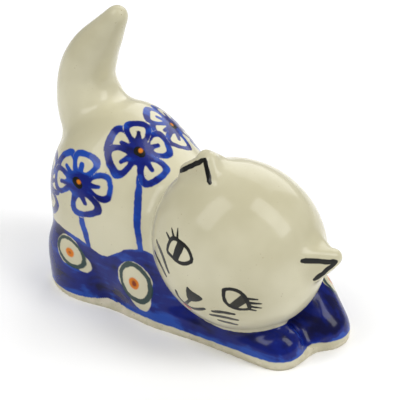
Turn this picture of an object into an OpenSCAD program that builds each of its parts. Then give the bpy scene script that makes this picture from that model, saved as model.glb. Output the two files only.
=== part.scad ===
// A slip-cast stoneware cat that lies with its tail up and its head turned on its forelegs.
// Each casting was made apart and luted to the next with slip, so each is a solid of its own.
// The cat faces -Y and its left side is +X. The foot rests on z = 0.

/* [Body] */
// Width of the rump
rump_w = 50; // [44:1:60]
// Length of the rump
rump_l = 49; // [42:1:60]
// Height of the rump above the ground
rump_h = 62; // [54:1:75]
// Height of the rump's widest level
rump_belly_h = 32; // [26:1:38]
// Distance of the rump's middle behind the origin
rump_y = 30.5; // [26:0.5:36]
// Width of the chest
chest_w = 40; // [34:1:48]
// Length of the chest
chest_l = 48; // [40:1:58]
// Height of the chest above the ground
chest_h = 44.5; // [38:0.5:52]
// Height of the chest's widest level
chest_belly_h = 22; // [18:1:26]
// Distance of the chest's middle behind the origin
chest_y = 2; // [-2:0.5:6]
// Depth over which the rump and the chest flow into each other
back_blend = 20; // [10:1:26]

/* [Head] */
// Width of the head from cheek to cheek
head_w = 56; // [48:1:66]
// Depth of the head from face to nape
head_d = 50; // [43:1:60]
// Height of the head from chin to crown
head_h = 53; // [46:1:62]
// Height of the head's middle above the ground
head_mid_h = 32.5; // [30:0.5:38]
// Sideways shift of the head to the cat's right
head_shift = 4; // [0:0.5:8]
// Distance of the head's middle in front of the origin
head_reach = 23; // [20:0.5:26]
// Turn of the face to the cat's right
head_turn = 81.5; // [60:0.5:95]
// Drop of the nose
head_nod = 15; // [0:1:25]
// Lean of the head onto its left cheek
head_lean = 34; // [10:1:40]

/* [Ears] */
// Angle of each ear from the crown
ear_angle = 52; // [40:1:60]
// Thickness of an ear where it leaves the head
ear_root_d = 15; // [12:0.5:18]
// Thickness of an ear's point
ear_tip_d = 6; // [4:0.5:8]
// Length of an ear from the middle of its root to the middle of its point
ear_l = 8; // [6.5:0.5:11]
// Shift of the ears towards the nape
ear_back = 3; // [0:0.5:5]
// Depth of the root's middle under the crown
ear_sink = 5.5; // [4:0.5:7]

/* [Tail] */
// Height of the tail's tip above the rump
tail_h = 33; // [26:1:42]
// Thickness of the tail where it leaves the rump
tail_root_d = 23; // [18:1:28]
// Thickness of the tail's tip
tail_tip_d = 7.2; // [5:0.2:9]

/* [Hind legs] */
// Width of a hind leg
hind_w = 24; // [20:1:29]
// Length of a hind leg
hind_l = 32; // [26:1:38]
// Height of a hind leg above the ground
hind_h = 31; // [26:1:37]
// Height of a hind leg's widest level
hind_belly_h = 12; // [10:1:15]
// Distance that a hind leg stands out of the rump
hind_proud = 1.5; // [0:0.5:3]
// Distance of a hind leg's middle behind the rump's middle
hind_back = 2.5; // [0:0.5:5]

/* [Forelegs] */
// Width of an elbow
elbow_w = 21; // [17:1:25]
// Height of an elbow above the ground
elbow_h = 38; // [32:1:46]
// Height of an elbow's widest level
elbow_belly_h = 17; // [14:1:20]
// Length of the right elbow
right_elbow_l = 31; // [26:1:37]
// Length of the left elbow
left_elbow_l = 32; // [26:1:38]
// Distance that an elbow stands out of the chest
elbow_proud = 3; // [1:0.5:4.5]
// Thickness of the right forearm
right_arm_d = 14; // [12:0.5:17]
// Thickness of the right paw
right_paw_d = 16; // [14:0.5:19]
// Thickness of the left forearm
left_arm_d = 21; // [18:0.5:25]
// Thickness of the left paw
left_paw_d = 19; // [16:0.5:23]
// Distance of the paws' middles in front of the origin
paw_reach = 42; // [38:0.5:48]

/* [Clay] */
// Wall of the hollow castings
wall = 3.5; // [2.5:0.1:4.5]
// Thickness of the bare foot slab
foot_t = 2; // [1.5:0.1:3]
// Drain hole in the foot slab, which is also its kiln vent
drain_d = 8; // [5:0.5:12]
// Steam holes from the trunk into the head and the tail
steam_d = 5; // [3:0.5:7]

/* [Hidden] */

glaze_colour = [0.86, 0.84, 0.74];
cobalt_colour = [0.09, 0.12, 0.50];
bare_colour = [0.80, 0.74, 0.62];

// How far an egg's lower half reaches, as a multiple of its upper half: the walls run down steeply
egg_drop = 1.6;
foot_blend = 8;      // web of clay between the legs at the foot
elbow_blend = 5;     // how softly an elbow runs into its forearm
search_steps = 15;   // halvings used to find a surface along a ray
search_far = 70;     // length of each ray
tiny = 0.0001;

rump_mid = [0, rump_y, rump_belly_h];
rump_radii = [rump_w / 2, rump_l / 2, rump_h - rump_belly_h];
chest_mid = [0, chest_y, chest_belly_h];
chest_radii = [chest_w / 2, chest_l / 2, chest_h - chest_belly_h];
head_mid = [-head_shift, -head_reach, head_mid_h];
head_radii = [head_w, head_d, head_h] / 2;

function turn_x(a) = [[1, 0, 0], [0, cos(a), -sin(a)], [0, sin(a), cos(a)]];
function turn_y(a) = [[cos(a), 0, sin(a)], [0, 1, 0], [-sin(a), 0, cos(a)]];
function turn_z(a) = [[cos(a), -sin(a), 0], [sin(a), cos(a), 0], [0, 0, 1]];
upright = turn_z(0);
head_frame = turn_z(-head_turn) * turn_x(head_nod) * turn_y(head_lean);

// ---- Clay forms. Each function gives the gap from a point to a form: negative inside the clay.

function shares(v, r) = [v.x / r.x, v.y / r.y, v.z / r.z];

function egg_gap(p, middle, radii, drop = 1, frame = upright) =
    let (q = (p - middle) * frame)
    let (r = [radii.x, radii.y, q.z < 0 ? radii.z * drop : radii.z])
    let (size = norm(shares(q, r)))
    size * (size - 1) / max(norm(shares(shares(q, r), r)), tiny);

function blend(a, b, depth) = min(a, b) - pow(max(depth - abs(a - b), 0), 2) / depth / 4;

// A limb is a list of [x, y, z, radius] balls joined by tapered rods
function ball_middle(ball) = [ball.x, ball.y, ball.z];

function rod_gap(p, a, b) =
    let (from = ball_middle(a))
    let (run = ball_middle(b) - from)
    let (t = min(max((p - from) * run / (run * run), 0), 1))
    norm(p - from - t * run) - a[3] - t * (b[3] - a[3]);

function limb_gap(p, limb) = min([for (i = [1 : len(limb) - 1]) rod_gap(p, limb[i - 1], limb[i])]);

function trunk_gap(p) =
    blend(egg_gap(p, rump_mid, rump_radii, egg_drop), egg_gap(p, chest_mid, chest_radii, egg_drop),
          back_blend);

function head_gap(p) = egg_gap(p, head_mid, head_radii, 1, head_frame);

// side is -1 on the cat's right and 1 on its left
function hind_middle(side) =
    [side * (rump_w / 2 + hind_proud - hind_w / 2), rump_y + hind_back, hind_belly_h];

function hind_gap(p, side) =
    egg_gap(p, hind_middle(side), [hind_w / 2, hind_l / 2, hind_h - hind_belly_h], egg_drop);

function elbow_middle(side, along) =
    [side * (chest_w / 2 + elbow_proud - elbow_w / 2), chest_y + along, elbow_belly_h];

function elbow_gap(p, side, along, length) =
    egg_gap(p, elbow_middle(side, along), [elbow_w / 2, length / 2, elbow_h - elbow_belly_h]);

// The right forearm lies flat and comes in under the chin
right_elbow_along = 7;
right_limb = [[7 - chest_w / 2, chest_y - 4, 5, right_arm_d / 2],
              [11 - chest_w / 2, 14 - paw_reach, 4.5, right_arm_d / 2],
              [14 - chest_w / 2, 1 - paw_reach, 3.5, right_paw_d / 2]];
function right_foreleg_gap(p) =
    blend(elbow_gap(p, -1, right_elbow_along, right_elbow_l), limb_gap(p, right_limb), elbow_blend);

// The left forearm slopes down from under the left ear, and a web joins it to the right one
left_elbow_along = -4;
left_limb = [[chest_w / 2 - 4, chest_y - 9, 13, left_arm_d / 2],
             [chest_w / 2 - 3.5, 9.5 - paw_reach, 9, left_arm_d / 2 - 0.5],
             [chest_w / 2 - 7.5, -1 - paw_reach, 2.5, left_paw_d / 2]];
web_limb = [[2, chest_y - 16, 4, 9], [3, -paw_reach, 1.5, 5]];
web_blend = 3;
function left_foreleg_gap(p) =
    blend(elbow_gap(p, 1, left_elbow_along, left_elbow_l),
          blend(limb_gap(p, left_limb), limb_gap(p, web_limb), web_blend), elbow_blend);

function ground_gap(p) =
    blend(trunk_gap(p),
          blend(min(hind_gap(p, -1), hind_gap(p, 1)),
                blend(right_foreleg_gap(p), left_foreleg_gap(p), foot_blend), foot_blend), foot_blend);

// ---- Castings. Rays fan out of a spine inside the form, and each stops at the clay's surface.

function surface_at(gap, origin, way, near = 0, far = search_far, steps = search_steps) =
    let (middle = (near + far) / 2)
    steps == 0 ? origin + middle * way
    : gap(origin + middle * way) < 0 ? surface_at(gap, origin, way, middle, far, steps - 1)
    : surface_at(gap, origin, way, near, middle, steps - 1);

function ring_faces(a, b, sides) =
    [for (i = [0 : sides - 1]) let (j = (i + 1) % sides) each [[a + i, b + j, b + i], [a + i, a + j, b + j]]];

function cap_faces(tip, first, sides, flip) =
    [for (i = [0 : sides - 1]) let (j = (i + 1) % sides)
        flip ? [tip, first + j, first + i] : [tip, first + i, first + j]];

// A closed skin over rings of points, with one point at each end
module skin(start, rings, end) {
    sides = len(rings[0]);
    last = (len(rings) - 1) * sides;
    points = concat([for (ring = rings) each ring], [start, end]);
    walls = [for (i = [1 : len(rings) - 1]) each ring_faces((i - 1) * sides, i * sides, sides)];
    polyhedron(points, concat(cap_faces(last + sides, 0, sides, false), walls,
                              cap_faces(last + sides + 1, last, sides, true)));
}

module casting(gap, spine, rings, sides) {
    run = spine[1] - spine[0];
    axis = run / norm(run);
    across = cross(axis, [0, 0, 1]) / norm(cross(axis, [0, 0, 1]));
    rise = cross(across, axis);
    fans = [for (i = [1 : rings - 1]) let (tilt = 180 * i / rings)
        [for (k = [0 : sides - 1]) let (a = 360 * k / sides)
            surface_at(gap, spine[0] + run * (1 - cos(tilt)) / 2,
                       (across * cos(a) + rise * sin(a)) * sin(tilt) - axis * cos(tilt))]];
    skin(surface_at(gap, spine[0], -axis), fans, surface_at(gap, spine[1], axis));
}

// Joins the cuts of a casting into one closed surface
module fired() { resize([0, 0, 0]) children(); }

module below(height) { translate([0, 0, height - search_far / 2]) cube([3, 3, 1] * search_far, center = true); }

module trunk_form(inset = 0) {
    casting(function (p) max(trunk_gap(p) + inset, -foot_t - p.z),
            [chest_mid, rump_mid], inset == 0 ? 40 : 24, inset == 0 ? 44 : 32);
}

module head_form(inset = 0) {
    nape = head_frame * [0, head_d / 8, 0];
    casting(function (p) head_gap(p) + inset,
            [head_mid - nape, head_mid + nape], inset == 0 ? 36 : 24, inset == 0 ? 52 : 32);
}

module right_foreleg_form() {
    casting(function (p) max(right_foreleg_gap(p), -foot_t - p.z),
            [ball_middle(right_limb[2]) + [-2, 7, 3.5], elbow_middle(-1, right_elbow_along)], 24, 32);
}

module left_foreleg_form() {
    casting(function (p) max(left_foreleg_gap(p), -foot_t - p.z),
            [ball_middle(left_limb[2]) + [1, 8, 5.5], elbow_middle(1, left_elbow_along)], 24, 32);
}

module hind_form(side) {
    casting(function (p) max(hind_gap(p, side), -foot_t - p.z),
            [hind_middle(side) - [0, 4, 0], hind_middle(side) + [0, 4, 0]], 24, 32);
}

// The tail rises out of the rump, bulges backwards and curls forwards to its tip.
// Each row is [distance behind the rump's middle, height, thickness], the last two as
// shares of the tail's own height and thickness; 0 is the top of the rump.
tail_bend = [[7.5, -0.48, 1.13], [14.5, -0.15, 1], [16.5, 0.15, 0.83], [13, 0.42, 0.71],
             [7, 0.67, 0.51], [1.5, 0.89, 0.31]];

function through(a, b, c, d, t) =
    (2 * b + (c - a) * t + (2 * a - 5 * b + 4 * c - d) * t * t + (3 * b - a - 3 * c + d) * t * t * t) / 2;

function tail_at(u) =
    let (i = min(floor(u), len(tail_bend) - 2))
    let (a = i == 0 ? 2 * tail_bend[0] - tail_bend[1] : tail_bend[i - 1])
    let (d = i == len(tail_bend) - 2 ? 2 * tail_bend[i + 1] - tail_bend[i] : tail_bend[i + 2])
    let (b = through(a, tail_bend[i], tail_bend[i + 1], d, u - i))
    [rump_y + b.x, rump_h + b.y * tail_h, max(b.z * tail_root_d, tail_tip_d) / 2];

tail_sides = 36;
tail_step = 0.2;

// One ring of the tail: along moves it down the tail's own axis, and reach is its radius
function tail_ring(u, along, reach) =
    let (here = tail_at(u))
    let (way = tail_at(u + tiny) - tail_at(u - tiny))
    let (axis = [way.x, way.y] / norm([way.x, way.y]))
    [for (k = [0 : tail_sides - 1]) let (a = 360 * k / tail_sides)
        [reach * cos(a), here.x + axis.x * along + reach * sin(a) * axis.y,
         here.y + axis.y * along - reach * sin(a) * axis.x]];

module tail_form(inset = 0) {
    tip_u = len(tail_bend) - 1 - tiny;
    tip_r = tail_at(tip_u).z - inset;
    end_u = tip_r > 1 ? tip_u : len(tail_bend) - 2;
    end_r = tail_at(end_u).z - inset;
    trunk_rings = [for (u = [0 : tail_step : end_u]) tail_ring(max(u, tiny), 0, tail_at(u).z - inset)];
    tip_rings = [for (a = [10 : 16 : 74]) tail_ring(end_u, end_r * sin(a), end_r * cos(a))];
    start = tail_at(0);
    tip = tail_ring(end_u, end_r, 0)[0];
    mirror([1, 0, 0]) skin([0, start.x, start.y], concat(trunk_rings, tip_rings), tip);
}

// ---- Sub-parts

module foot_slab() {
    rays = 120;
    outline = [for (k = [0 : rays - 1]) let (a = 360 * k / rays)
        surface_at(function (p) ground_gap(p), [0, 0, foot_t], [cos(a), sin(a), 0])];
    color(bare_colour) difference() {
        linear_extrude(foot_t) polygon([for (p = outline) [p.x, p.y]]);
        translate([0, rump_y / 2, -foot_t]) cylinder(h = 3 * foot_t, d = drain_d, $fn = 48);
    }
}

// A hole that starts inside the trunk and runs out through its wall towards a point
module steam_hole(from, to) {
    way = to - from;
    translate(from) rotate([0, acos(way.z / norm(way)), atan2(way.y, way.x)])
        cylinder(h = norm(way), d = steam_d, $fn = 24);
}

module trunk_shell() {
    tail_root = tail_at(1.2);
    color(glaze_colour) fired() difference() {
        trunk_form();
        trunk_form(wall);
        below(foot_t);
        steam_hole(chest_mid, head_mid);
        steam_hole(rump_mid, [0, tail_root.x, tail_root.y]);
    }
}

module head_shell() {
    color(glaze_colour) fired() difference() {
        head_form();
        head_form(wall);
        trunk_form();
    }
}

module ear(side) {
    way = [side * sin(ear_angle), 0, cos(ear_angle)];
    rim = surface_at(function (p) head_gap(p), head_mid, head_frame * way);
    root = rim + head_frame * (ear_back * [0, 1, 0] - ear_sink * way);
    color(glaze_colour) fired() difference() {
        hull() {
            translate(root) sphere(d = ear_root_d, $fn = 32);
            translate(root + ear_l * (head_frame * way)) sphere(d = ear_tip_d, $fn = 32);
        }
        head_form();
    }
}

module right_ear() { ear(-1); }

module left_ear() { ear(1); }

module tail_shell() {
    color(glaze_colour) fired() difference() {
        tail_form();
        tail_form(wall);
        trunk_form();
    }
}

module right_foreleg() {
    color(cobalt_colour) fired() difference() {
        right_foreleg_form();
        trunk_form();
        head_form();
        below(foot_t);
    }
}

module left_foreleg() {
    color(cobalt_colour) fired() difference() {
        left_foreleg_form();
        trunk_form();
        head_form();
        right_foreleg_form();
        below(foot_t);
    }
}

module hind_leg(side) {
    color(cobalt_colour) fired() difference() {
        hind_form(side);
        trunk_form();
        right_foreleg_form();
        left_foreleg_form();
        below(foot_t);
    }
}

module right_hind_leg() { hind_leg(-1); }

module left_hind_leg() { hind_leg(1); }

foot_slab();
trunk_shell();
head_shell();
right_ear();
left_ear();
tail_shell();
right_foreleg();
left_foreleg();
right_hind_leg();
left_hind_leg();
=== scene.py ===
"""The looks of the ceramic cat: one glazed skin over its castings, hand-painted in cobalt and black.

The castings of the frame are fused into one fine skin, its luting seams are rounded as slip rounds
them, the decoration is laid out on it in millimetres, and the skin is then parted again into one
closed shell for each casting.
"""
import math

import bmesh
import bpy
import numpy as np
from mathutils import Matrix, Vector
from mathutils.bvhtree import BVHTree


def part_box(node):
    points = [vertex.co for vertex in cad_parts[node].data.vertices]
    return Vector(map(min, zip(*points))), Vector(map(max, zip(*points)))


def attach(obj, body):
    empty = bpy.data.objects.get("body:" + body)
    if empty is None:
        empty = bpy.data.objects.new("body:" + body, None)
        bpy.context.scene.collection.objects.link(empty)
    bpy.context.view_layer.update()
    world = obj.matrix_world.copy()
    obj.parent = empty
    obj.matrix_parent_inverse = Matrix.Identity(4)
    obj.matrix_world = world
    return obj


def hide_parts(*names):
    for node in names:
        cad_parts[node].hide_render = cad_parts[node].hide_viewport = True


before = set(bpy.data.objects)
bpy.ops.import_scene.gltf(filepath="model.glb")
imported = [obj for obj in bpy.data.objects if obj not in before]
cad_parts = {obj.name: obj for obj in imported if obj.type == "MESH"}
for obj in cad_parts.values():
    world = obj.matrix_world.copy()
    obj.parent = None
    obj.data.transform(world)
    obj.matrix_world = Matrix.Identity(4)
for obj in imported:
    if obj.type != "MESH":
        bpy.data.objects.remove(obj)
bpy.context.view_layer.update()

MM = 0.001
DRAW_SEED = 7

# ---- Sizes of the skin, in millimetres
VOXEL = 0.5           # edge of the skin's faces before the finely painted parts are refined
SKIN_T = 1.5          # thickness of the shells
FACET_BLUR = 2.2      # distance over which the castings' facets are smoothed away
EAR_BLUR = 0.7        # the same at the small ears
TAIL_FILL = 3.2       # size of the slip fillets at the tail,
EAR_FILL = 5.0        # at the ears,
PAW_FILL = 5.5        # between the paws,
OTHER_FILL = 0.9      # and in all other creases
FOOT_BAND = (3.4, 1.9)  # height of the bare clay around the foot, at the front and at the rear
NEAR = 6.0            # distances to castings are measured up to here
CREASE_BLUR = 1.2     # distance over which a crease is felt
FINE_BAND = 1.1       # the skin is refined as far as this from the edge of a fine stroke
GENTLE_REACH = 3.0    # distance from the ears over which their own blur gives way
PLUG_SHARE = 1.2      # radius of the plug in the drain hole, beside the hole's

# ---- The camera: where it stands as seen from the middle of the cat
CAMERA_TURN = -47.5   # degrees around the cat, 0 looks along its length at the face's end
CAMERA_RISE = 28.0    # degrees above the floor
CAMERA_FAR = 430.0    # millimetres
CAMERA_LENS = 123.3   # millimetres, on a 36 mm sensor
CAMERA_MIDDLE = (0, -3, 41)  # the point that it turns about, in millimetres
CAMERA_DROP = 1.9     # how far under that point it aims, in millimetres

# ---- The light: each softbox's place in metres from the origin, its size in metres and its watts
LIGHT_AIM = (0.0, 0.0, 0.04)
SOFTBOXES = [
    ("left_window", (-0.57, 0.17, 0.80), (0.40, 0.85), 4.4),
    ("front_window", (0.21, -0.61, 0.76), (0.40, 0.85), 5.2),
    ("right_window", (0.80, 0.25, 0.60), (0.75, 0.80), 3.9),
]
ROOM_LIGHT = 0.33     # strength of the white all around
FLOOR_HALF = 3.0      # metres from the floor's middle to its edge

HEAD_PARTS = ("head_shell", "right_ear", "left_ear")

# ---- Where the decoration sits, as shares of a casting's box: across from its right side (-1) to
# its left (1), along from its front (0) to its back (1), and up from its foot (0) to its top (1)
FLOWERS = [
    # across, along, up, its width and height beside the drawing's, turn in degrees, and the
    # stem's foot: across, along, up
    (-0.80, 0.895, 0.570, (1.00, 0.92), 10, (-0.86, 0.880, 0.370)),
    (-0.93, 0.652, 0.680, (1.18, 0.92), -4, (-0.99, 0.583, 0.352)),
    (0.38, 0.505, 0.890, (0.92, 0.94), 14, (0.87, 0.320, 0.427)),
    (-0.36, 0.468, 0.853, (0.96, 1.03), 0, (-0.87, 0.320, 0.427)),
    (0.93, 0.640, 0.680, (1.16, 0.92), -7, (0.99, 0.590, 0.362)),
    (0.70, 0.925, 0.600, (1.00, 0.92), -12, (0.78, 0.930, 0.370)),
]
EYES = [
    # casting, across, along, up, its width and height beside the drawing's, and where its tip
    # points in degrees from straight up
    ("right_hind_leg", -0.90, 0.385, 0.735, (0.74, 0.98), -118),
    ("right_foreleg", -0.96, 0.845, 0.593, (1.02, 1.12), -165),
    ("left_foreleg", 0.80, 0.228, 0.358, (0.92, 0.92), 150),
    ("left_foreleg", 0.98, 0.905, 0.420, (1.00, 1.08), 168),
    ("left_hind_leg", 0.90, 0.385, 0.735, (0.80, 1.00), 116),
]
# the upper edge of the cobalt field on the trunk and legs: along and up the trunk
FIELD_EDGE = [(-0.2, 0.43), (0.25, 0.417), (0.316, 0.428), (0.39, 0.405), (0.44, 0.355),
              (0.50, 0.310), (0.54, 0.325), (0.623, 0.363), (0.72, 0.376), (0.818, 0.373),
              (1.05, 0.350)]
FIELD_FRONT = -12.0   # forward of this, in millimetres, all below the head is cobalt,
FIELD_TOP = 40.0      # up to this height

# ---- The flower, in millimetres from its middle: along a petal and across it
PETAL_TURNS = (143, -164, 18, -58, 85)
PETAL_EDGE = [(2.0, -2.2), (5.0, -4.2), (8.5, -5.5), (11.0, -4.6), (11.9, 0.0),
              (11.0, 4.6), (8.5, 5.5), (5.0, 4.2), (2.0, 2.2)]
PETAL_CREAM = [(4.4, -1.1), (5.8, -2.4), (7.8, -3.2), (9.1, -2.7), (9.5, 0.0),
               (9.1, 2.7), (7.8, 3.2), (5.8, 2.4), (4.4, 1.1)]
TONGUE = ((3.0, 0.2), (6.8, 0.3), 1.2)
HEART_R = 4.4
SEED = ((-0.5, 0.5), (0.5, -0.4), 1.52, 1.33)  # a short dab from here to there, and its end radii
SEED_DOT = ((0.35, 0.6), 0.75)
FLOWER_REACH = 15.0   # the drawing ends within this of the middle
# how much a hand strays from petal to petal: degrees, length, width, cream's length, tongue's lean
PETAL_STRAY = ((-5, 5), (0.95, 1.03), (0.9, 1.08), (0.96, 1.02), (-0.6, 0.6))
STEM_W = 2.5
STEM_GAP = 8.2        # from the flower's middle to where its stem starts
STEM_STEPS = 6

# ---- The peacock eye, in millimetres from its middle
EYE_CREAM = (6.6, 5.8, 3.8)       # radius, how far its tip reaches and the tip's radius
EYE_RING = ((6.1, 6.9), (4.6, 5.2))  # its outer edge's half width and height, and its inner edge's
EYE_DOT_R = 1.9
EYE_REACH = 13.0      # the drawing ends within this of the middle

# ---- The head, in millimetres
HEAD_FRONT = 27.4     # from its middle to its foremost point; the trunk cuts into its back
EAR_SET_BACK = 3.8    # how far the ears stand behind its middle
FACE_FRONT = -4.0     # the face lies in front of this,
FACE_HALF_H = 20.0    # within this of the middle's height
FACE_REACH = 34.0     # and within this of the middle
FACE_EYES = [
    # outline of the right eye and of the left: across to the cat's left, and up
    [(-6.8, 9.7), (-9, 10.6), (-11, 10.5), (-13, 9.5), (-14.5, 8.8), (-16, 7.2), (-15.6, 4.6),
     (-14.5, 2.7), (-13, 3.5), (-11, 4.3), (-9, 5.5), (-7.5, 7.5)],
    [(5.5, 9.7), (7, 11), (9, 11.4), (11, 10.9), (13, 9.3), (15, 7), (14.5, 6.3), (12.5, 5.2),
     (10.5, 5), (8.5, 5.6), (7, 7), (5.8, 9)],
]
EYE_LINE_W = 1.1
PUPILS = [((-12.6, 9.2), (-11.2, 4.4), 1.5), ((11.8, 10.0), (10.8, 5.5), 1.6)]
LASHES = [((-14.5, 9), (-16.3, 10.4)), ((-15.3, 7.9), (-17.8, 8.2)), ((-15.8, 6.2), (-18.2, 5.6)),
          ((12.5, 10.2), (14.8, 10.8)), ((13.8, 9), (16.5, 9.6)), ((14.3, 7.7), (17.3, 8)),
          ((14.5, 6.6), (16.7, 6.6))]
LASH_W = 0.85
NOSE = [(-3.7, 1.3), (-1.4, 0.9), (0.6, 1.8), (3.0, 1.8), (2.2, -1.2), (0.4, -3.9), (-0.5, -4.4),
        (-2.1, -2.4)]
NOSE_STEM = ((0, -3), (-0.3, -8))
MOUTH = [(-5, -6.3), (-4, -8), (-1.8, -8.8), (0, -8.6), (2, -8), (3.6, -5.5), (4.9, -2.5)]
MOUTH_W = 1.4
TONGUE_SPOT = ((0.5, -9.5), 1.0)
WHISKERS = [
    [(-19, -1.3), (-15, -0.3), (-10.3, -2.3)], [(-17.5, -5.7), (-13.5, -4.6), (-10.2, -5.5)],
    [(7.3, -1.2), (9.5, 1), (12.5, 2.3)], [(7.6, -3.8), (10.5, -1.3), (14.5, -0.2)],
    [(10.5, -4.8), (13, -3.8), (15.3, -3.5)],
]
WHISKER_W = 1.45
# the two strokes of each ear, through its tip: to the cat's left, back and up
EAR_STROKES = [
    [(-27.6, -1.4, 10.5), (-23.6, -0.3, 21.2), (-17.9, -4.6, 19.9)],
    [(17.0, -4.5, 20.5), (24.8, 2.8, 21.3), (23.9, -3.0, 15.8)],
]
EAR_STROKE_W = 1.7
EAR_EDGE_R = 2.8      # radius of the clay pinched up under those strokes
EAR_SUNK = 0.5        # how deep that clay sits under the strokes, beside its radius
EAR_BACKING = 1.8     # how far it stands behind them
EAR_BEADS = 8         # steps of clay, and of brush, along each stroke
EAR_REACH = 18.0      # a stroke ends within this of its middle


def unit(v):
    return v / np.linalg.norm(v)


def box_mm(node):
    low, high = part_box(node)
    return np.array(low) / MM, np.array(high) / MM


def at_share(node, across, along, up):
    """A point at shares of a casting's box, in millimetres."""
    low, high = box_mm(node)
    return np.array([(low[0] + high[0]) / 2 + across * (high[0] - low[0]) / 2,
                     low[1] + along * (high[1] - low[1]), low[2] + up * (high[2] - low[2])])


def node_points(node):
    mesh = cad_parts[node].data
    points = np.zeros(len(mesh.vertices) * 3, np.float32)
    mesh.vertices.foreach_get("co", points)
    return points.reshape(-1, 3).astype(float) / MM


# ---- The skin

def drain_hole():
    """Middle and radius of the foot slab's drain hole, which is all that lies near its middle line."""
    points = node_points("foot_slab")
    low, high = box_mm("foot_slab")
    length = high[1] - low[1]
    near = ((abs(points[:, 0]) < (high[0] - low[0]) / 9) & (points[:, 1] > low[1] + length / 2)
            & (points[:, 1] < low[1] + 0.9 * length))
    inside = points[near]
    centre = (inside.min(0) + inside.max(0)) / 2
    return centre[:2], (inside[:, 0].max() - inside[:, 0].min()) / 2


DRAIN_AT, DRAIN_R = drain_hole()


def fused_skin():
    """The outer surface of all castings together, as points in millimetres and faces."""
    bm = bmesh.new()
    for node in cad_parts.values():
        bm.from_mesh(node.data)
    bmesh.ops.remove_doubles(bm, verts=bm.verts, dist=1e-7)
    low, high = box_mm("foot_slab")
    # a plug in the drain hole keeps the hollow inside apart from the outer surface
    radius = DRAIN_R * PLUG_SHARE * MM
    plug = bmesh.ops.create_cone(bm, cap_ends=True, segments=32, radius1=radius, radius2=radius,
                                 depth=(high[2] - low[2]) * MM)
    for vert in plug["verts"]:
        vert.co += Vector((DRAIN_AT[0], DRAIN_AT[1], (low[2] + high[2]) / 2)) * MM
    centre, axes = head_frame()
    for line in EAR_STROKES:
        for a, b in zip(line, line[1:]):
            for k in range(EAR_BEADS + 1):
                bead = np.array(a) + (np.array(b) - a) * k / EAR_BEADS
                bead = bead - unit(bead) * EAR_EDGE_R * EAR_SUNK + (0, EAR_BACKING, 0)
                bead = centre + bead @ axes
                ball = bmesh.ops.create_icosphere(bm, subdivisions=2, radius=EAR_EDGE_R * MM)
                for vert in ball["verts"]:
                    vert.co += Vector(bead) * MM
    mesh = bpy.data.meshes.new("fused")
    bm.to_mesh(mesh)
    bm.free()
    body = bpy.data.objects.new("fused", mesh)
    bpy.context.scene.collection.objects.link(body)
    remesh = body.modifiers.new("fuse", "REMESH")
    remesh.mode = "VOXEL"
    remesh.voxel_size = VOXEL * MM
    fused = bpy.data.meshes.new_from_object(body.evaluated_get(bpy.context.evaluated_depsgraph_get()))
    bpy.data.objects.remove(body)
    bm = bmesh.new()
    bm.from_mesh(fused)
    drop_inner_islands(bm)
    points = np.array([v.co[:] for v in bm.verts]) / MM
    faces = [[v.index for v in f.verts] for f in bm.faces]
    bm.free()
    bpy.data.meshes.remove(fused)
    return points, faces


def drop_inner_islands(bm):
    """Keeps the island that holds the highest point, which is the outer surface."""
    start = max(bm.verts, key=lambda v: v.co.z)
    outer = {start}
    search = [start]
    while search:
        vert = search.pop()
        for edge in vert.link_edges:
            other = edge.other_vert(vert)
            if other not in outer:
                outer.add(other)
                search.append(other)
    bmesh.ops.delete(bm, geom=[v for v in bm.verts if v not in outer], context="VERTS")
    bm.verts.index_update()


class Skin:
    """Points with neighbours, so that values can be diffused over the surface."""

    def __init__(self, points, faces):
        self.points = points
        self.faces = faces
        self.fields = {}
        self.link()

    def link(self):
        pairs = np.array([(f[i - 1], f[i]) for f in self.faces for i in range(len(f))])
        self.edges = np.unique(np.sort(pairs, axis=1), axis=0)
        self.degree = np.maximum(np.bincount(self.edges.ravel(), minlength=len(self.points)), 1)

    def around(self, values):
        """The mean of each point's neighbours."""
        if values.ndim > 1:
            return np.stack([self.around(column) for column in values.T], 1)
        a, b = self.edges.T
        count = len(self.points)
        return (np.bincount(a, values[b], count) + np.bincount(b, values[a], count)) / self.degree

    def diffuse(self, values, distance):
        """Blurs values over the surface by about that many millimetres."""
        for _ in range(max(1, round(4 * (distance / VOXEL) ** 2))):
            values = 0.5 * (values + self.around(values))
        return values

    def normals(self):
        quads = np.array([(f + [f[-1]])[:4] for f in self.faces])
        corner = self.points[quads]
        flat = np.cross(corner[:, 2] - corner[:, 0], corner[:, 3] - corner[:, 1])
        total = np.stack([sum(np.bincount(quads[:, k], flat[:, i], len(self.points))
                              for k in range(4)) for i in range(3)], 1)
        return total / np.maximum(np.linalg.norm(total, axis=1, keepdims=True), 1e-12)

    def refine(self, chosen):
        """Splits the four-sided faces whose corners are all chosen into four."""
        middles, faces = {}, []
        first = len(self.points)
        ends, hearts = [], []
        split = [len(f) == 4 and all(chosen[v] for v in f) for f in self.faces]
        for face, cut in zip(self.faces, split):
            if cut:
                for i in range(4):
                    key = (min(face[i - 1], face[i]), max(face[i - 1], face[i]))
                    if key not in middles:
                        middles[key] = first + len(ends)
                        ends.append(key)
        first_heart = first + len(ends)
        for face, cut in zip(self.faces, split):
            rim = [middles.get((min(face[i], face[(i + 1) % len(face)]),
                                max(face[i], face[(i + 1) % len(face)]))) for i in range(len(face))]
            if cut:
                heart = first_heart + len(hearts)
                hearts.append(face)
                faces += [[face[i], rim[i], heart, rim[i - 1]] for i in range(4)]
            else:
                faces.append([v for i in range(len(face)) for v in (face[i], rim[i])
                              if v is not None])
        ends, hearts = np.array(ends), np.array(hearts)

        def grown(values):
            return np.concatenate([values, values[ends].mean(1), values[hearts].mean(1)])

        self.points = grown(self.points)
        self.fields = {name: grown(values) for name, values in self.fields.items()}
        self.faces = faces


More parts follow.
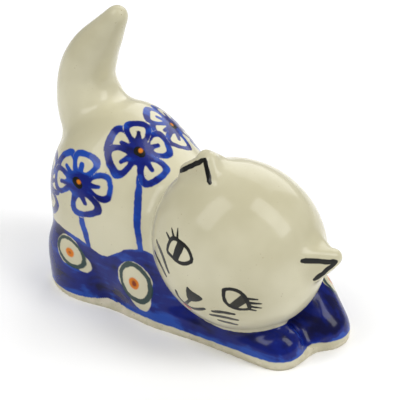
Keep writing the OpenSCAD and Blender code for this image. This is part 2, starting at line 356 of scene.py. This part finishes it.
def distances(points):
    """How far each point is from each casting in millimetres, up to NEAR."""
    table = {}
    for name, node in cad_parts.items():
        bm = bmesh.new()
        bm.from_mesh(node.data)
        tree = BVHTree.FromBMesh(bm)
        bm.free()
        low, high = box_mm(name)
        reach = np.full(len(points), NEAR)
        for i in np.nonzero(((points > low - NEAR) & (points < high + NEAR)).all(1))[0]:
            hit = tree.find_nearest(Vector(points[i] * MM), NEAR * MM)
            if hit[3] is not None:
                reach[i] = hit[3] / MM
        table[name] = reach
    return table


def finish_shape(skin):
    """Smooths the castings' facets away and rounds the luting seams."""
    raw = skin.points
    near = skin.fields
    floor = raw[:, 2] < VOXEL / 2
    ears = np.minimum(near["right_ear"], near["left_ear"])
    once = skin.diffuse(raw, FACET_BLUR)
    smooth = 2 * once - skin.diffuse(once, FACET_BLUR)
    gentle = skin.diffuse(raw, EAR_BLUR)
    share = np.clip(ears / GENTLE_REACH, 0, 1)[:, None]
    skin.points = share * smooth + (1 - share) * gentle
    tail = np.maximum(near["tail_shell"], near["trunk_shell"])
    paws = np.maximum(near["right_foreleg"], near["left_foreleg"])
    weight = np.max([EAR_FILL * np.clip(1.1 - ears / NEAR, 0, 1),
                     TAIL_FILL * np.clip(1.2 - tail / NEAR, 0, 1),
                     PAW_FILL * np.clip(1.2 - paws / NEAR, 0, 1)], axis=0)
    strongest = weight.max()
    fill(skin, np.full(len(raw), 1.0), round(4 * (OTHER_FILL / VOXEL) ** 2))
    fill(skin, skin.diffuse((weight / strongest) ** 2, 1.0), round(4 * (strongest / VOXEL) ** 2))
    skin.points[:, 2] = np.maximum(skin.points[:, 2], 0)
    skin.points[floor, 2] = 0


def fill(skin, weight, steps):
    """Lets slip run into the hollows: points in a hollow move outward, all others stay."""
    chosen = np.nonzero(weight > 0.01)[0]
    ends = np.concatenate([skin.edges, skin.edges[:, ::-1]])
    ends = ends[np.isin(ends[:, 0], chosen)]
    place = np.full(len(skin.points), -1)
    place[chosen] = np.arange(len(chosen))
    here, there = place[ends[:, 0]], ends[:, 1]
    degree = skin.degree[chosen]
    rate = 0.5 * weight[chosen]
    for step in range(steps):
        if step % 10 == 0:
            normal = skin.normals()[chosen]
        around = np.stack([np.bincount(here, skin.points[there, i], len(chosen)) / degree
                           for i in range(3)], 1)
        lift = ((around - skin.points[chosen]) * normal).sum(1)
        skin.points[chosen] += (rate * np.maximum(lift, 0))[:, None] * normal


# ---- Strokes, as signed distances in millimetres: negative inside

def capsule(p, a, b, ra, rb):
    a, b = np.array(a, float), np.array(b, float)
    share = np.clip(((p - a) @ (b - a)) / ((b - a) @ (b - a)), 0, 1)
    return np.linalg.norm(p - a - share[:, None] * (b - a), axis=1) - (ra + (rb - ra) * share)


def stroke(p, line, width):
    """A brush stroke along a line, a little thinner at both ends."""
    count = len(line) - 1
    half = width / 2
    thick = [half * (0.75 if k in (0, count) else 1.0) for k in range(count + 1)]
    return np.min([capsule(p, line[k], line[k + 1], thick[k], thick[k + 1])
                   for k in range(count)], axis=0)


def rounded(corners, closed=True, times=2):
    """Cuts the corners off an outline, over and over."""
    corners = np.array(corners, float)
    for _ in range(times):
        if closed:
            nxt = np.roll(corners, -1, axis=0)
            corners = np.stack([0.75 * corners + 0.25 * nxt, 0.25 * corners + 0.75 * nxt], 1)
            corners = corners.reshape(-1, corners.shape[-1])
        else:
            a, b = corners[:-1], corners[1:]
            inner = np.stack([0.75 * a + 0.25 * b, 0.25 * a + 0.75 * b], 1)
            inner = inner.reshape(-1, corners.shape[-1])
            corners = np.concatenate([corners[:1], inner[1:-1], corners[-1:]])
    return corners


def outline(p, corners):
    """Distance to a closed outline, negative inside."""
    reach = np.full(len(p), 1e9)
    inside = np.zeros(len(p), bool)
    for a, b in zip(corners, np.roll(corners, -1, axis=0)):
        reach = np.minimum(reach, capsule(p, a, b, 0, 0))
        crosses = (a[1] > p[:, 1]) != (b[1] > p[:, 1])
        rise = b[1] - a[1] if abs(b[1] - a[1]) > 1e-9 else 1e-9
        inside ^= crosses & (p[:, 0] < a[0] + (p[:, 1] - a[1]) / rise * (b[0] - a[0]))
    return np.where(inside, -reach, reach)


def ellipse(p, radii):
    radii = np.array(radii)
    return (np.linalg.norm(p / radii, axis=1) - 1) * radii.min()


# ---- The decoration

FAR = 20.0            # the distance given to everything far from a motif


class Paint:
    """Lays the decoration out on the skin as distance fields."""

    def __init__(self, skin):
        self.skin = skin
        self.points = skin.points
        self.rng = np.random.default_rng(DRAW_SEED)
        fields = ("cobalt", "stem", "green", "orange", "red", "ink", "thin_ink")
        self.d = {name: np.full(len(self.points), FAR) for name in fields}

    def snap(self, spot):
        return int(np.argmin(((self.points - spot) ** 2).sum(1)))

    def flat_around(self, spot, reach, turn=0.0):
        """The points within reach of a spot, laid flat: to the viewer's right and up."""
        i = self.snap(spot)
        normal = self.skin.fields["normal"][i]
        rise = unit(np.array([0, 0, 1.0]) - normal * normal[2])
        side = np.cross(rise, normal)
        offset = self.points - self.points[i]
        far = np.linalg.norm(offset, axis=1)
        facing = self.skin.fields["normal"] @ normal
        chosen = np.nonzero((far < reach) & (facing > -0.2))[0]
        offset, far = offset[chosen], far[chosen]
        flat = np.stack([offset @ side, offset @ rise], 1)
        flat *= (far / np.maximum(np.linalg.norm(flat, axis=1), 1e-6))[:, None]
        c, s = math.cos(math.radians(turn)), math.sin(math.radians(turn))
        return chosen, flat @ np.array([[c, -s], [s, c]])

    def add(self, field, chosen, values):
        self.d[field][chosen] = np.minimum(self.d[field][chosen], values)

    def cut(self, field, chosen, values):
        self.d[field][chosen] = np.maximum(self.d[field][chosen], -values)

    def flower(self, spot, size, turn):
        chosen, flat = self.flat_around(spot, FLOWER_REACH * max(size), turn)
        flat = flat / size
        size = min(size)
        heart = np.linalg.norm(flat, axis=1) - HEART_R
        whole, blue = heart, np.full(len(flat), FAR)
        tongue = np.full(len(flat), FAR)
        start, end, r = TONGUE
        turns, lengths, widths, creams, leans = PETAL_STRAY
        for petal_turn in PETAL_TURNS:
            a = math.radians(petal_turn + self.rng.uniform(*turns))
            along = flat @ np.array([math.cos(a), math.sin(a)])
            across = flat @ np.array([-math.sin(a), math.cos(a)])
            petal = np.stack([along, across], 1)
            wide = self.rng.uniform(*widths)
            edge = rounded(PETAL_EDGE) * (self.rng.uniform(*lengths), wide)
            hollow = rounded(PETAL_CREAM) * (self.rng.uniform(*creams), wide)
            edge, hollow = outline(petal, edge), outline(petal, hollow)
            whole = np.minimum(whole, edge)
            blue = np.minimum(np.maximum(blue, -edge), np.maximum(edge, -hollow))
            lean = self.rng.uniform(*leans)
            tongue = np.minimum(tongue, capsule(petal, start, (end[0], end[1] + lean), r, r * 0.6))
        blue = np.min([blue, heart, tongue], axis=0)
        # a later flower is brushed over an earlier one
        self.cut("cobalt", chosen, whole * size)
        self.cut("ink", chosen, whole * size)
        self.cut("orange", chosen, whole * size)
        self.add("cobalt", chosen, blue * size)
        self.add("ink", chosen, capsule(flat, *SEED))
        dot, dot_r = SEED_DOT
        self.add("orange", chosen, np.linalg.norm(flat - dot, axis=1) - dot_r)

    def stem(self, top, foot):
        """A stroke over the skin from below a flower to the cobalt field."""
        top, foot = self.points[self.snap(top)], self.points[self.snap(foot)]
        start = top + unit(foot - top) * STEM_GAP
        shares = range(STEM_STEPS + 1)
        line = [self.points[self.snap(start + (foot - start) * k / STEM_STEPS)] for k in shares]
        chosen = np.nonzero(np.linalg.norm(self.points - (start + foot) / 2, axis=1)
                            < np.linalg.norm(foot - start) / 2 + 4)[0]
        p = self.points[chosen]
        wide = [STEM_W / 2 * (0.75 + 0.3 * math.sin(math.pi * k / STEM_STEPS)) for k in shares]
        d = np.min([capsule(p, line[k], line[k + 1], wide[k], wide[k + 1])
                    for k in range(STEM_STEPS)], axis=0)
        self.add("cobalt", chosen, d)
        self.add("stem", chosen, d)

    def peacock_eye(self, spot, size, turn):
        chosen, flat = self.flat_around(spot, EYE_REACH * max(size), turn)
        flat = flat / size
        size = min(size)
        r, tip, tip_r = EYE_CREAM
        drop = capsule(flat, (0, 0), (0, tip), r, tip_r)
        outer, inner = EYE_RING
        ring = np.maximum(ellipse(flat - (0, 0.3), outer), -ellipse(flat - (0, 0.1), inner))
        self.cut("cobalt", chosen, drop * size)
        self.add("green", chosen, ring * size)
        self.add("orange", chosen, (np.linalg.norm(flat - (0.2, 0.2), axis=1) - EYE_DOT_R) * size)

    def field(self):
        """The cobalt field over the legs and the foot of the trunk."""
        near = self.skin.fields
        y, z = self.points[:, 1], self.points[:, 2]
        low, high = box_mm("trunk_shell")
        edge = np.array([(low[1] + a * (high[1] - low[1]), low[2] + u * (high[2] - low[2]))
                         for a, u in rounded(FIELD_EDGE, closed=False, times=1)])
        below = z - np.interp(y, edge[:, 0], edge[:, 1])
        front = np.maximum(y - FIELD_FRONT, z - FIELD_TOP)
        head = np.min([near[name] for name in HEAD_PARTS], axis=0)
        body = np.min([near[name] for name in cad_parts
                       if name not in HEAD_PARTS and name != "tail_shell"], axis=0)
        self.d["cobalt"] = np.minimum(self.d["cobalt"], np.minimum(below, front))
        self.d["cobalt"] = np.maximum(self.d["cobalt"], body - head)
        low, high = box_mm("foot_slab")
        self.d["cobalt"] = np.maximum(self.d["cobalt"], np.interp(y, (low[1], high[1]), FOOT_BAND) - z)
        legs = [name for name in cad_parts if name.endswith("leg")]
        # nearness to the seams of the legs with the trunk and to the gap between the forelegs: painted
        # shade darkens the cobalt there
        self.d["seam_lap_and_shade"] = np.min([np.abs(near[name] - near["trunk_shell"]) for name in legs]
                               + [np.maximum(near["right_foreleg"], near["left_foreleg"])], axis=0)

    def face(self):
        centre, axes = head_frame()
        local = (self.points - centre) @ axes.T
        chosen = np.nonzero((local[:, 1] < FACE_FRONT) & (np.abs(local[:, 2]) < FACE_HALF_H)
                            & (self.skin.fields["normal"] @ axes[1] < 0.1)
                            & (np.linalg.norm(local, axis=1) < FACE_REACH))[0]
        flat = local[chosen][:, [0, 2]]
        eye_fill = np.full(len(chosen), FAR)
        for corners in FACE_EYES:
            shape = outline(flat, rounded(corners, times=1))
            eye_fill = np.minimum(eye_fill, shape)
            self.add("ink", chosen, np.abs(shape) - EYE_LINE_W / 2)
        for (a, b, r), ink in zip(PUPILS, ("ink", "thin_ink")):
            self.add(ink, chosen, np.maximum(capsule(flat, a, b, r, r * 0.8), eye_fill))
        for a, b in LASHES:
            self.add("ink", chosen, capsule(flat, a, b, LASH_W * 0.6, LASH_W * 0.3))
        self.add("ink", chosen, outline(flat, rounded(NOSE, times=1)))
        self.add("ink", chosen, stroke(flat, NOSE_STEM, MOUTH_W))
        self.add("ink", chosen, stroke(flat, rounded(MOUTH, closed=False), MOUTH_W))
        for line in WHISKERS:
            self.add("thin_ink", chosen, stroke(flat, rounded(line, closed=False), WHISKER_W))
        spot, r = TONGUE_SPOT
        self.add("red", chosen, np.linalg.norm((flat - spot) * (0.6, 1.0), axis=1) - r)

    def ears(self):
        centre, axes = head_frame()
        for line in EAR_STROKES:
            world = [centre + np.array(p) @ axes for p in line]
            chosen = np.nonzero(np.linalg.norm(self.points - world[1], axis=1) < EAR_REACH)[0]
            p = self.points[chosen]
            for a, b in zip(world, world[1:]):
                track = [self.points[self.snap(a + (b - a) * k / EAR_BEADS)] for k in range(EAR_BEADS + 1)]
                self.add("ink", chosen, stroke(p, track, EAR_STROKE_W))

    def all(self):
        for across, along, up, size, turn, foot in FLOWERS:
            spot = at_share("trunk_shell", across, along, up)
            self.stem(spot, at_share("trunk_shell", *foot))
            self.flower(spot, size, turn)
        self.field()
        for node, across, along, up, size, turn in EYES:
            self.peacock_eye(at_share(node, across, along, up), size, turn)
        self.face()
        self.ears()
        return self.d


def head_frame():
    """The head's middle, and its axes: to the cat's left, back and up."""
    low, high = box_mm("head_shell")
    centre = np.array([(low[0] + high[0]) / 2, low[1] + HEAD_FRONT, (low[2] + high[2]) / 2])
    right, left = (sum(box_mm(name)) / 2 for name in ("right_ear", "left_ear"))
    x = unit(left - right)
    ears = (left + right) / 2 - centre
    z = unit(ears)
    for _ in range(4):
        y = unit(np.cross(z, x))
        z = unit(ears - EAR_SET_BACK * y)
        z = unit(z - x * (z @ x))
    return centre, np.array([x, unit(np.cross(z, x)), z])


skin = Skin(*fused_skin())
skin.fields = distances(skin.points)
finish_shape(skin)
skin.fields["normal"] = skin.normals()
# how hollow the skin is: it darkens the glaze in creases as painted shade
hollow = skin.diffuse(skin.points, CREASE_BLUR) - skin.points
skin.fields["crease"] = (hollow * skin.fields["normal"]).sum(1)
first = Paint(skin).all()
fine = np.min([np.abs(first[key]) for key in ("ink", "thin_ink", "orange", "green")], axis=0)
# the fine strokes get smaller faces, and then all is painted afresh
skin.refine(fine < FINE_BAND)
skin.fields["normal"] /= np.linalg.norm(skin.fields["normal"], axis=1, keepdims=True)
paint = Paint(skin).all()


# ---- The pieces

def shell(name, node, chosen):
    """A closed shell under the chosen faces of the skin."""
    faces = [skin.faces[i] for i in chosen]
    used = sorted({v for face in faces for v in face})
    place = {v: i for i, v in enumerate(used)}
    points, normal = skin.points[used].copy(), skin.fields["normal"][used]
    faces = [[place[v] for v in face] for face in faces]
    if node == "foot_slab":
        points, faces = with_drain(points, faces)
    count = len(points)
    under = points - SKIN_T * normal
    under[:, 2] = np.maximum(under[:, 2], 0)
    inner = [[v + count for v in reversed(face)] for face in faces]
    sides = [[b, a, a + count, b + count] for a, b in rim_of(faces)]
    mesh = bpy.data.meshes.new(name)
    mesh.from_pydata(np.concatenate([points, under]) * MM, [], faces + inner + sides)
    keep = without_loose(mesh)
    for key, values in {**paint, "crease": skin.fields["crease"]}.items():
        values = np.tile(values[used], 2)[keep].astype(np.float32)
        mesh.attributes.new(key, "FLOAT", "POINT").data.foreach_set("value", values)
    mesh.polygons.foreach_set("use_smooth", [True] * len(mesh.polygons))
    both = np.concatenate([normal, -normal])[keep]
    mesh.normals_split_custom_set_from_vertices(both.tolist())
    mesh.update()
    piece = bpy.data.objects.new(name, mesh)
    bpy.context.scene.collection.objects.link(piece)
    return piece


def rim_of(faces):
    """The edges that only one face has, in that face's direction."""
    rim = {}
    for face in faces:
        for i in range(len(face)):
            a, b = face[i - 1], face[i]
            if (b, a) in rim:
                del rim[(b, a)]
            else:
                rim[(a, b)] = True
    return rim


def without_loose(mesh):
    """Takes out the points that no face uses, and says which points stay."""
    bm = bmesh.new()
    bm.from_mesh(mesh)
    keep = np.array([bool(v.link_faces) for v in bm.verts])
    loose = [v for v in bm.verts if not v.link_faces]
    bmesh.ops.delete(bm, geom=loose, context="VERTS")
    bm.to_mesh(mesh)
    bm.free()
    return keep


def with_drain(points, faces):
    """Opens the drain hole in the underside of the foot."""
    off = points[:, :2] - DRAIN_AT
    far = np.linalg.norm(off, axis=1)
    under = points[:, 2] < VOXEL / 2
    inside = under & (far < DRAIN_R)
    kept = [face for face in faces if not any(inside[v] for v in face)]
    edge = {v for face in faces if any(inside[v] for v in face) for v in face}
    for v in edge:
        if not inside[v]:
            points[v, :2] = DRAIN_AT + off[v] / far[v] * DRAIN_R
    return points, kept


names = list(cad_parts)
table = np.stack([skin.fields[name] for name in names], 1)
owner = np.array([int(np.argmin(table[face].mean(0))) for face in skin.faces])
SLOT_OF = {"foot_slab": "bare_clay", "right_foreleg": "cobalt_glaze", "left_foreleg": "cobalt_glaze",
           "right_hind_leg": "cobalt_glaze", "left_hind_leg": "cobalt_glaze"}
pieces = {node: shell(node + "_glazed", node, np.nonzero(owner == i)[0])
          for i, node in enumerate(names)}


# ---- Materials

def linear(r, g, b):
    """A colour as the eye numbers it, 0 to 255, for a shader."""
    return tuple(((c / 255 + 0.055) / 1.055) ** 2.4 if c > 10 else c / 255 / 12.92
                 for c in (r, g, b)) + (1.0,)


class Graph:
    """Short names for the nodes that the materials use."""

    def __init__(self, name):
        self.material = bpy.data.materials.new(name)
        self.material.use_nodes = True
        self.tree = self.material.node_tree
        self.shader = self.tree.nodes["Principled BSDF"]
        self.place = self.tree.nodes.new("ShaderNodeTexCoord").outputs["Object"]

    def link(self, value, socket):
        if isinstance(value, bpy.types.NodeSocket):
            self.tree.links.new(value, socket)
        else:
            socket.default_value = value

    def math(self, operation, a, b):
        node = self.tree.nodes.new("ShaderNodeMath")
        node.operation = operation
        self.link(a, node.inputs[0])
        self.link(b, node.inputs[1])
        return node.outputs[0]

    def field(self, name):
        node = self.tree.nodes.new("ShaderNodeAttribute")
        node.attribute_name = name
        return node.outputs["Fac"]

    def noise(self, per_mm, detail=2.0, stretch=(1, 1, 1), seed=0.0):
        shift = self.tree.nodes.new("ShaderNodeMapping")
        shift.inputs["Scale"].default_value = stretch
        shift.inputs["Location"].default_value = (seed, seed * 0.7, seed * 1.3)
        self.link(self.place, shift.inputs["Vector"])
        node = self.tree.nodes.new("ShaderNodeTexNoise")
        node.inputs["Scale"].default_value = per_mm / MM
        node.inputs["Detail"].default_value = detail
        self.link(shift.outputs[0], node.inputs["Vector"])
        return node.outputs["Fac"]

    def ramp(self, value, low, high, to_low=0.0, to_high=1.0):
        node = self.tree.nodes.new("ShaderNodeMapRange")
        node.interpolation_type = "SMOOTHSTEP"
        self.link(value, node.inputs["Value"])
        for key, number in (("From Min", low), ("From Max", high), ("To Min", to_low),
                            ("To Max", to_high)):
            self.link(number, node.inputs[key])
        return node.outputs["Result"]

    def inside(self, name, soft, wobble=0.0, per_mm=0.5, seed=0.0):
        """1 inside a painted shape and 0 outside, its edge wandering by the wobble."""
        value = self.field(name)
        if wobble:
            shift = self.math("SUBTRACT", self.noise(per_mm, seed=seed), 0.5)
            shift = self.times(shift, 4 * wobble)
            value = self.math("ADD", value, shift)
        return self.ramp(value, -soft, soft, 1.0, 0.0)

    def mix(self, share, a, b):
        node = self.tree.nodes.new("ShaderNodeMix")
        node.data_type = "RGBA"
        self.link(share, node.inputs["Factor"])
        self.link(a, node.inputs["A"])
        self.link(b, node.inputs["B"])
        return node.outputs["Result"]

    def times(self, a, b):
        return self.math("MULTIPLY", a, b)

    def height(self):
        node = self.tree.nodes.new("ShaderNodeSeparateXYZ")
        self.link(self.place, node.inputs[0])
        return node.outputs["Z"]

    def bump(self, value, depth_mm, strength):
        node = self.tree.nodes.new("ShaderNodeBump")
        node.inputs["Distance"].default_value = depth_mm * MM
        node.inputs["Strength"].default_value = strength
        self.link(value, node.inputs["Height"])
        self.link(node.outputs["Normal"], self.shader.inputs["Normal"])


IVORY = linear(210, 205, 178)
# a deeper ivory for the glaze's clouds and the clay's mottle, also laid in creases as painted shade
IVORY_DEEP = linear(190, 184, 154)
SPECK = linear(120, 92, 60)
COBALT = linear(10, 26, 112)
COBALT_NAVY = linear(6, 8, 60)
COBALT_THIN = linear(26, 70, 164)
TEAL = linear(16, 52, 56)
RUST = linear(210, 118, 18)
RUST_DARK = linear(128, 50, 14)
INK = linear(8, 10, 12)
OLIVE = linear(24, 24, 15)
TONGUE_RED = linear(206, 96, 82)
CLAY = linear(212, 204, 180)


# how thick the cobalt lies, as shares of the thickness that reads as navy
STREAK_SHARE = 1.5    # from the bristles' streaks,
PATCH_SHARE = 1.5     # and from broad patches
THICK_BASE = -0.64    # added everywhere
EDGE_THIN = 0.12      # thinner along the edges,
POOL_AND_SHADE_THICK = 0.45     # thicker in creases, as painted shade and pooled cobalt,
LAP_AND_SHADE_THICK = 0.35      # and at the seams of the legs and between the paws, as painted shade and lapped coats,
FOOT_THIN = 0.5       # thinner above the foot,
FOOT_FADE = (7.5 * MM, 3 * MM)  # between these heights


def body_colour(g, pool_and_shade):
    """The ivory glaze: cloudy, darker in creases as painted shade and pooled glaze, with a few iron
    specks.
    """
    colour = g.mix(g.ramp(g.noise(0.035, 3), 0.3, 0.7), IVORY, IVORY_DEEP)
    # painted shade: the ivory goes darker in creases, standing also for glaze pooled there
    colour = g.mix(g.times(pool_and_shade, 0.45), colour, IVORY_DEEP)
    specks = g.ramp(g.noise(1.6, 0, seed=3.0), 0.80, 0.86)
    specks = g.times(specks, g.ramp(g.noise(0.12, 1), 0.45, 0.7))
    return g.mix(g.times(specks, 0.8), colour, SPECK)


def cobalt_colour(g, pool_and_shade):
    """The cobalt: strokes of unlike thickness, navy in creases and at the leg seams as painted shade and
    pooled cobalt, and light at its edges.
    """
    streak = g.noise(0.34, 5, stretch=(1.0, 0.16, 1.0))
    patch = g.noise(0.075, 3, seed=5.0)
    thick = g.math("ADD", g.times(streak, STREAK_SHARE), g.times(patch, PATCH_SHARE))
    thick = g.math("ADD", thick, THICK_BASE)
    edge = g.ramp(g.field("cobalt"), -1.6, 0.0)
    thick = g.math("SUBTRACT", thick, g.times(edge, EDGE_THIN))
    # painted shade: the cobalt goes thicker and darker in creases, standing also for cobalt pooled there
    thick = g.math("ADD", thick, g.times(pool_and_shade, POOL_AND_SHADE_THICK))
    # painted shade: darker navy at the seams of the legs and between the paws under the head, standing
    # also for lapped coats
    lapped_and_shaded = g.ramp(g.field("seam_lap_and_shade"), 3.5, 0.5)
    lapped_and_shaded = g.times(lapped_and_shaded, g.ramp(g.noise(0.09, 2, seed=6.0), 0.3, 0.6))
    thick = g.math("ADD", thick, g.times(lapped_and_shaded, LAP_AND_SHADE_THICK))
    thick = g.math("SUBTRACT", thick, g.times(g.ramp(g.height(), *FOOT_FADE), FOOT_THIN))
    blue = g.mix(g.ramp(thick, 0.45, 0.86), COBALT_THIN, COBALT)
    blue = g.mix(g.ramp(thick, 0.88, 1.4), blue, COBALT_NAVY)
    return g.mix(g.times(g.inside("stem", 0.4), 0.55), blue, COBALT_THIN)


def painted(g, colour, blue):
    """The decoration over the body, each colour in the order in which it is brushed on."""
    colour = g.mix(g.inside("cobalt", 0.22, 0.20, 0.38), colour, blue)
    colour = g.mix(g.times(g.inside("green", 0.2, 0.22, 0.5, 2.0), 0.95), colour, TEAL)
    colour = g.mix(g.inside("red", 0.5, 0.3), colour, TONGUE_RED)
    faint_ink = g.mix(g.noise(0.3, 2), OLIVE, INK)
    colour = g.mix(g.times(g.inside("thin_ink", 0.14, 0.08), 0.97), colour, faint_ink)
    ink = g.mix(g.ramp(g.noise(0.4, 3, seed=4.0), 0.4, 0.75), INK, OLIVE)
    colour = g.mix(g.inside("ink", 0.14, 0.10), colour, ink)
    core = g.math("ADD", g.ramp(g.field("orange"), -0.3, -1.7), g.noise(0.5, 3, seed=9.0))
    rust = g.mix(g.ramp(core, 0.6, 1.4), RUST, RUST_DARK)
    return g.mix(g.inside("orange", 0.3, 0.10, 0.6, 6.0), colour, rust)


def glaze(name):
    """Clear glossy glaze over an ivory body with hand-brushed cobalt and black."""
    g = Graph(name)
    # the creases' painted shade, together with pooled glaze
    pool_and_shade = g.ramp(g.field("crease"), 0.02, 0.35)
    colour = painted(g, body_colour(g, pool_and_shade), cobalt_colour(g, pool_and_shade))
    g.link(colour, g.shader.inputs["Base Color"])
    g.link(g.ramp(g.noise(0.2, 3, seed=8.0), 0.3, 0.7, 0.16, 0.26), g.shader.inputs["Roughness"])
    g.bump(g.noise(0.16, 3, seed=1.0), 0.12, 0.5)
    for key, value in (("IOR", 1.5), ("Specular IOR Level", 0.15), ("Coat Weight", 0.25),
                       ("Coat Roughness", 0.07)):
        g.shader.inputs[key].default_value = value
    return g.material


def bare_clay():
    """Unglazed stoneware: matt, with grog and small pits."""
    g = Graph("bare_clay")
    colour = g.mix(g.ramp(g.noise(0.3, 4), 0.3, 0.7), CLAY, IVORY_DEEP)
    colour = g.mix(g.times(g.ramp(g.noise(1.4, 1, seed=2.0), 0.68, 0.78), 0.6), colour, SPECK)
    g.link(colour, g.shader.inputs["Base Color"])
    g.link(g.ramp(g.noise(0.8, 2), 0.3, 0.7, 0.45, 0.7), g.shader.inputs["Roughness"])
    g.bump(g.noise(1.6, 3), 0.05, 1.0)
    return g.material


MATERIALS = {"ivory_glaze": glaze("ivory_glaze"), "cobalt_glaze": glaze("cobalt_glaze"),
             "bare_clay": bare_clay()}
for node, piece in pieces.items():
    slot = SLOT_OF.get(node, "ivory_glaze")
    piece.data.materials.append(MATERIALS[slot])
    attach(piece, "root")
    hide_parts(node)


# ---- The studio

def plain(name, colour, roughness):
    material = bpy.data.materials.new(name)
    material.use_nodes = True
    shader = material.node_tree.nodes["Principled BSDF"]
    shader.inputs["Base Color"].default_value = colour
    shader.inputs["Roughness"].default_value = roughness
    return material


floor_mesh = bpy.data.meshes.new("floor")
corners = [(x * FLOOR_HALF, y * FLOOR_HALF, 0) for x, y in ((-1, -1), (1, -1), (1, 1), (-1, 1))]
floor_mesh.from_pydata(corners, [], [(0, 1, 2, 3)])
floor = bpy.data.objects.new("floor", floor_mesh)
bpy.context.scene.collection.objects.link(floor)
floor_mesh.materials.append(plain("floor_white", linear(255, 255, 255), 0.9))


def softbox(name, place, size, watts):
    lamp = bpy.data.lights.new(name, "AREA")
    lamp.shape = "RECTANGLE"
    lamp.size, lamp.size_y = size
    lamp.energy = watts
    box = bpy.data.objects.new(name, lamp)
    box.location = place
    box.rotation_euler = (Vector(LIGHT_AIM) - Vector(place)).to_track_quat("-Z", "Y").to_euler()
    bpy.context.scene.collection.objects.link(box)


for lamp_name, lamp_place, lamp_size, watts in SOFTBOXES:
    softbox(lamp_name, lamp_place, lamp_size, watts)

world = bpy.data.worlds.new("white")
world.use_nodes = True
world.node_tree.nodes["Background"].inputs["Color"].default_value = linear(255, 255, 255)
world.node_tree.nodes["Background"].inputs["Strength"].default_value = ROOM_LIGHT
bpy.context.scene.world = world
bpy.context.scene.view_settings.view_transform = "Standard"

turn, rise = math.radians(CAMERA_TURN), math.radians(CAMERA_RISE)
TARGET = Vector(CAMERA_MIDDLE) * MM
TOWARD = Vector((math.sin(turn) * math.cos(rise), -math.cos(turn) * math.cos(rise), math.sin(rise)))
camera = bpy.data.objects.new("camera", bpy.data.cameras.new("camera"))
camera.location = TARGET + TOWARD * CAMERA_FAR * MM
camera.data.lens = CAMERA_LENS
UP = (Vector((0, 0, 1)) - TOWARD * TOWARD.z).normalized()
AIM = TARGET - UP * CAMERA_DROP * MM
camera.rotation_euler = (AIM - camera.location).to_track_quat("-Z", "Y").to_euler()
bpy.context.scene.collection.objects.link(camera)
bpy.context.scene.camera = camera

bpy.context.view_layer.update()
